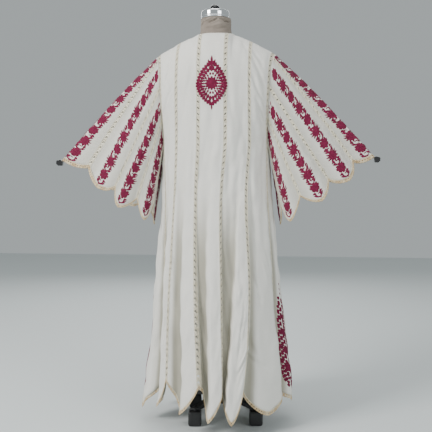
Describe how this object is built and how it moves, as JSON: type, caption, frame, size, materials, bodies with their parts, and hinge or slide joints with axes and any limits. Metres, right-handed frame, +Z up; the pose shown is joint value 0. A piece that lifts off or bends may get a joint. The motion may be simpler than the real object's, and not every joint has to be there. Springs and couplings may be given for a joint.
{
  "type": "djellaba-style robe on a limbless dress form",
  "caption": "Long white cotton robe with wide bell sleeves, gores, openwork seams and petal hem, worn by a limbless dress form on a four-legged stand.",
  "frame": {"origin": "on the floor under the middle of the robe and its sleeves", "axes": "+Z up, the robe's back faces +Y and its front -Y, the sleeves reach out along X"},
  "size_m": [1.1708, 0.5112, 1.484],
  "materials": {
    "cotton": "matt slub cotton",
    "crochet": "matt cotton cord",
    "jersey": "matt jersey",
    "chrome": "polished",
    "knob_black": "gloss",
    "stand_black": "satin black",
    "clip_black": "matt black"
  },
  "bodies": {
    "root": {"clip_minus": "clip_black", "clip_plus": "clip_black", "dress_form": "jersey", "gore_back_centre": "cotton", "gore_back_inner_minus": "cotton", "gore_back_inner_plus": "cotton", "gore_back_outer_minus": "cotton", "gore_back_outer_plus": "cotton", "gore_front_centre": "cotton", "gore_front_inner_minus": "cotton", "gore_front_inner_plus": "cotton", "gore_front_outer_minus": "cotton", "gore_front_outer_plus": "cotton", "gore_side_minus": "cotton", "gore_side_plus": "cotton", "neck_binding": "cotton", "neck_cap": "chrome", "neck_knob": "knob_black", "sleeve_minus_0": "cotton", "sleeve_minus_1": "cotton", "sleeve_minus_2": "cotton", "sleeve_minus_3": "cotton", "sleeve_minus_4": "cotton", "sleeve_minus_5": "cotton", "sleeve_minus_6": "cotton", "sleeve_minus_7": "cotton", "sleeve_plus_0": "cotton", "sleeve_plus_1": "cotton", "sleeve_plus_2": "cotton", "sleeve_plus_3": "cotton", "sleeve_plus_4": "cotton", "sleeve_plus_5": "cotton", "sleeve_plus_6": "cotton", "sleeve_plus_7": "cotton", "stand_foot_0": "stand_black", "stand_foot_1": "stand_black", "stand_foot_2": "stand_black", "stand_foot_3": "stand_black", "stand_hub": "stand_black", "stand_leg_0": "stand_black", "stand_leg_1": "stand_black", "stand_leg_2": "stand_black", "stand_leg_3": "stand_black", "stand_pole": "stand_black", "trim_body": "crochet", "trim_sleeve_minus": "crochet", "trim_sleeve_plus": "crochet"}
  },
  "joints": []
}
